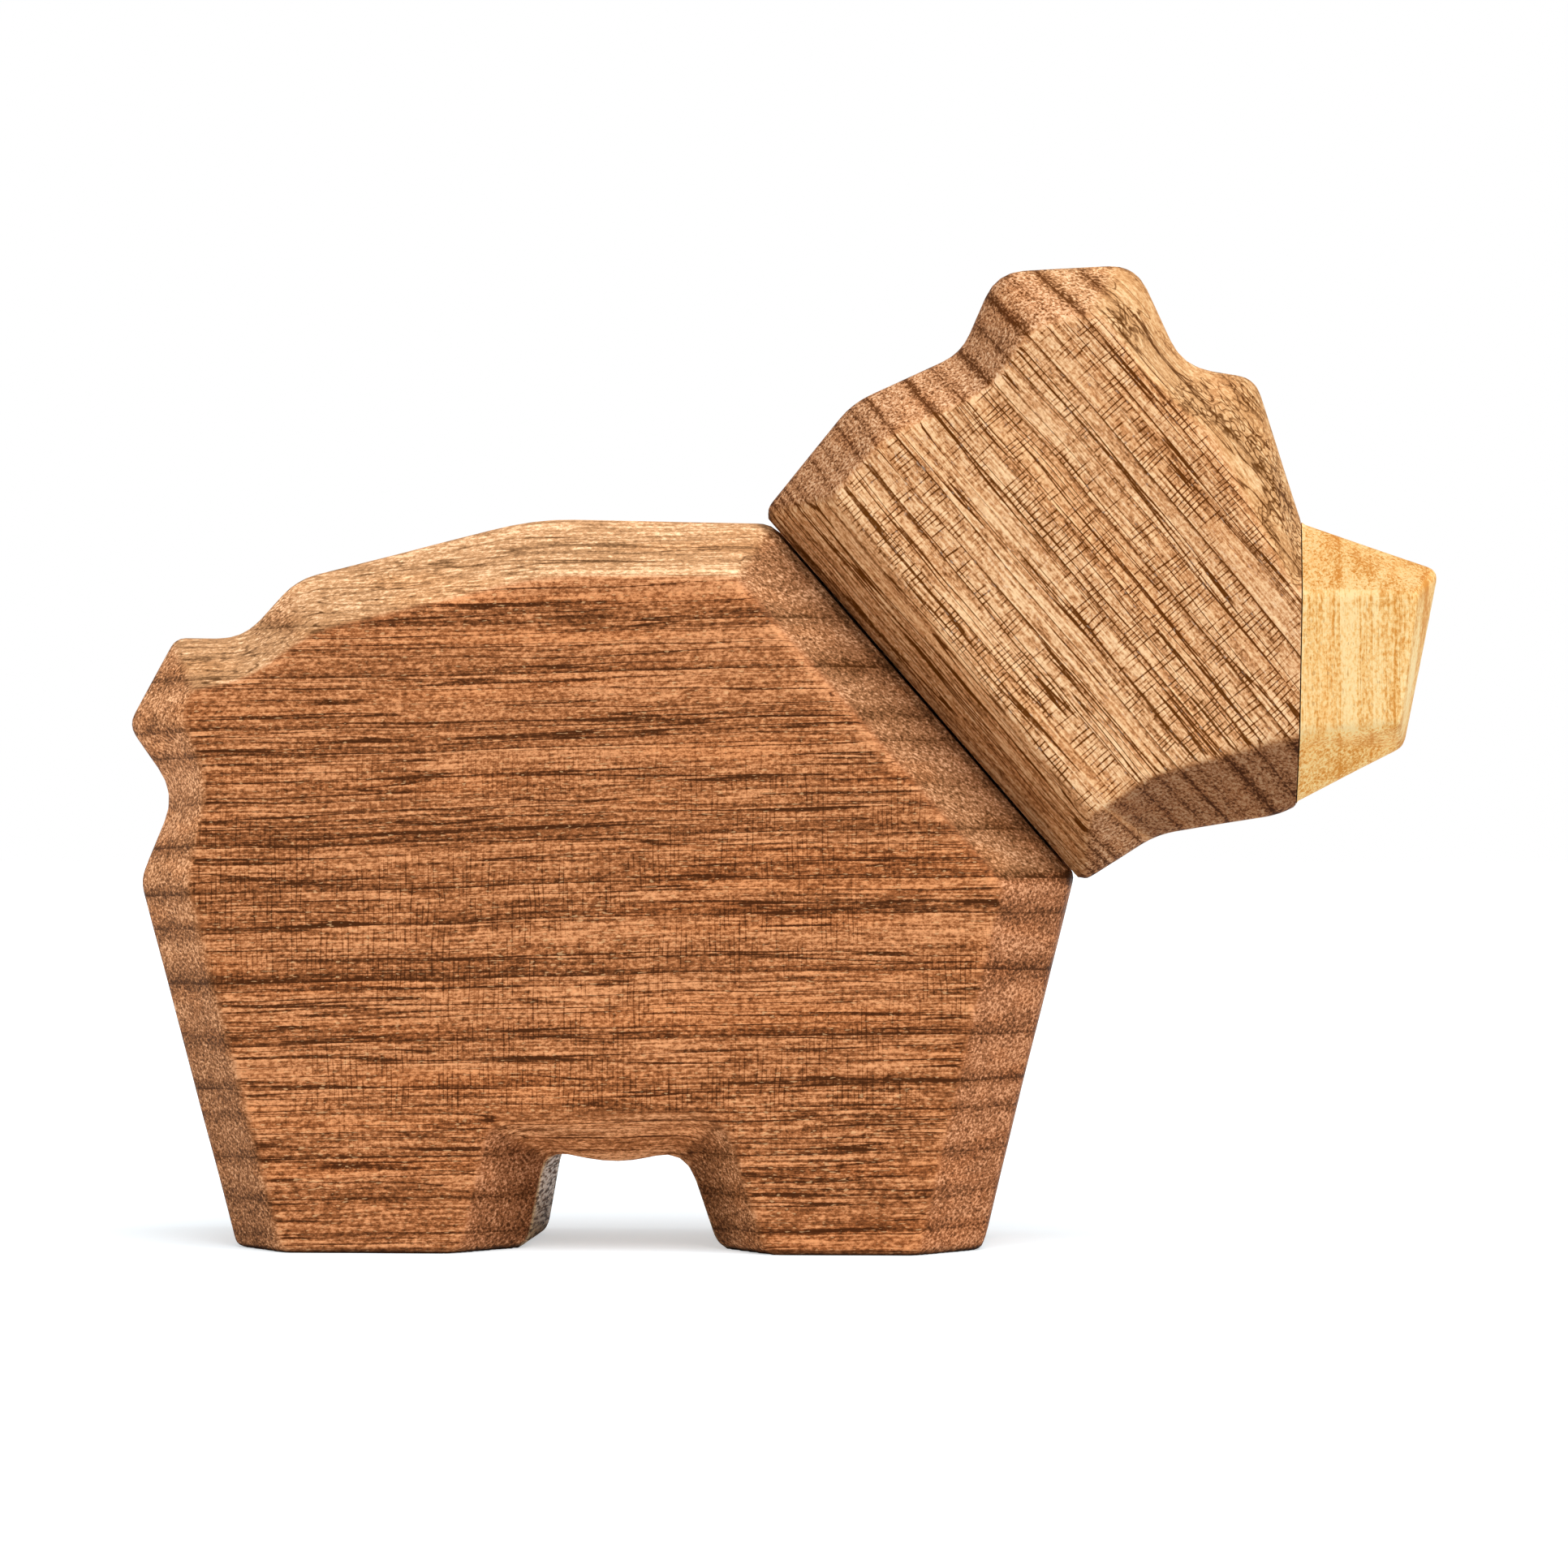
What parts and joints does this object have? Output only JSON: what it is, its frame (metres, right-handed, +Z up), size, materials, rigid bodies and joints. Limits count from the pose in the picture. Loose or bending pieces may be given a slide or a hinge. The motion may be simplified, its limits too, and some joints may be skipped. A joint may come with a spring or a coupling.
{
  "type": "wooden bear figurine",
  "caption": "Wooden bear figurine of bevelled walnut blocks with a pale muzzle. Disc magnets in the sloping neck hold the head, which turns there and pulls off by hand.",
  "frame": {"origin": "on the ground under the middle of the bear's box", "axes": "+X the way the bear looks, +Y to the bear's left, +Z up"},
  "size_m": [0.1356, 0.036, 0.1017],
  "materials": {
    "walnut_body": "sanded and oiled, long grain level",
    "walnut_head": "sanded and oiled, long grain along the neck face",
    "maple_muzzle": "sanded and oiled, long grain upright",
    "walnut_plug": "sanded flush, end grain",
    "nickel_magnet": "bright nickel plate"
  },
  "bodies": {
    "body": {"body_block": "walnut_body", "body_magnet": "nickel_magnet", "body_magnet_plug": "walnut_plug"},
    "head_disc": {"head_magnet": "nickel_magnet"},
    "head": {"head_block": "walnut_head", "muzzle": "maple_muzzle", "head_magnet_plug": "walnut_plug"}
  },
  "joints": [
    {"name": "head_pull", "type": "slide", "parent": "body", "child": "head_disc", "axis": [0.7571, 0, 0.6533], "range_m": [0, 0.04]},
    {"name": "head_swivel", "type": "hinge", "parent": "head_disc", "child": "head", "pos_m": [0.01452, 0, 0.05695], "axis": [0.7571, 0, 0.6533], "continuous": true}
  ]
}
